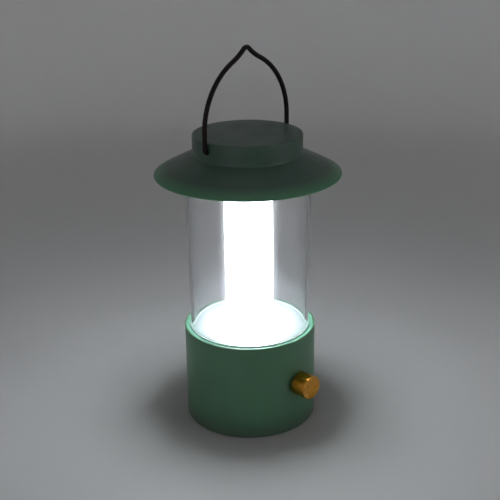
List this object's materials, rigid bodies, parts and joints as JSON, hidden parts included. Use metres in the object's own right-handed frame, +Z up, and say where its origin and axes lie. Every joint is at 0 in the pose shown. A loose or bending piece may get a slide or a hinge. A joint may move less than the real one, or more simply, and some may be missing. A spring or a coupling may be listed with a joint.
{
  "type": "camping lantern",
  "caption": "Battery camping lantern with a drum base and dimmer knob, a clear chimney round a lit column, a brimmed hat and a swinging wire bail.",
  "frame": {"origin": "centre of the underside, on the surface that the lantern stands on", "axes": "+Z up along the lantern's axis; the dimmer knob points to -Y, the charging port is at +Y and the bail's pivot line is parallel to X"},
  "size_m": [0.1198, 0.1198, 0.2501],
  "materials": {
    "green_paint": "satin sage green paint",
    "black_plastic": "matte moulded",
    "rubber": "matte silicone rubber",
    "seal": "translucent silicone",
    "steel": "zinc plated",
    "brass": "polished",
    "aluminium": "mill finish",
    "white_plastic": "matte moulded",
    "white_paint": "matte white reflector paint",
    "board": "green solder mask",
    "led_board": "white solder mask on aluminium",
    "led": "phosphor",
    "diffuser": "frosted, lit from inside",
    "clear": "clear polished",
    "dark_wire": "black-brown satin coating",
    "cell_wrap": "shrink wrap",
    "red_lead": "insulation",
    "black_lead": "insulation",
    "white_lead": "insulation",
    "yellow_lead": "insulation"
  },
  "bodies": {
    "lantern": {"base_shell": "green_paint", "deck_plate": "green_paint", "bottom_cover": "black_plastic", "foot_ring": "rubber", "cover_screws": "steel", "cover_pillars": "steel", "deck_screws": "steel", "board_standoffs": "brass", "board_screws": "steel", "driver_board": "board", "power_inductor": "black_plastic", "board_chips": "black_plastic", "board_capacitors": "aluminium", "battery_connector": "white_plastic", "usb_socket": "steel", "charge_led": "white_plastic", "charge_light_pipe": "clear", "port_cover_anchor": "rubber", "battery_holder": "black_plastic", "battery_cells": "cell_wrap", "cell_springs": "steel", "cell_tabs": "steel", "holder_screws": "steel", "dimmer_body": "steel", "dimmer_bushing": "brass", "dimmer_washer": "steel", "dimmer_nut": "steel", "dimmer_terminals": "brass", "reflector_plate": "white_paint", "column_foot": "aluminium", "column_screws": "steel", "led_core": "aluminium", "led_boards": "led_board", "led_chips": "led", "diffuser_tube": "diffuser", "column_cap": "white_plastic", "tie_rod": "steel", "rod_washer": "steel", "rod_nut": "steel", "lower_seal": "seal", "chimney": "clear", "upper_seal": "seal", "ceiling_plate": "white_paint", "hat_boss": "steel", "hat": "green_paint", "battery_lead_red": "red_lead", "battery_lead_black": "black_lead", "led_leads": "white_lead", "dimmer_leads": "yellow_lead"},
    "bail": {"bail": "dark_wire", "bail_retainers": "steel"},
    "knob": {"knob": "brass", "dimmer_shaft": "steel", "knob_set_screw": "steel"},
    "port_cover": {"port_cover": "rubber"}
  },
  "joints": [
    {"name": "bail_swing", "type": "hinge", "parent": "lantern", "child": "bail", "pos_m": [0, 0, 0.1895], "axis": [1, 0, 0], "range_deg": [-103, 103]},
    {"name": "knob_turn", "type": "hinge", "parent": "lantern", "child": "knob", "pos_m": [0, 0, 0.034], "axis": [0, -1, 0], "range_deg": [0, 270]},
    {"name": "port_cover_open", "type": "hinge", "parent": "lantern", "child": "port_cover", "pos_m": [-0.00915, 0.04365, 0.0384], "axis": [0, 0, 1], "range_deg": [0, 100]}
  ]
}
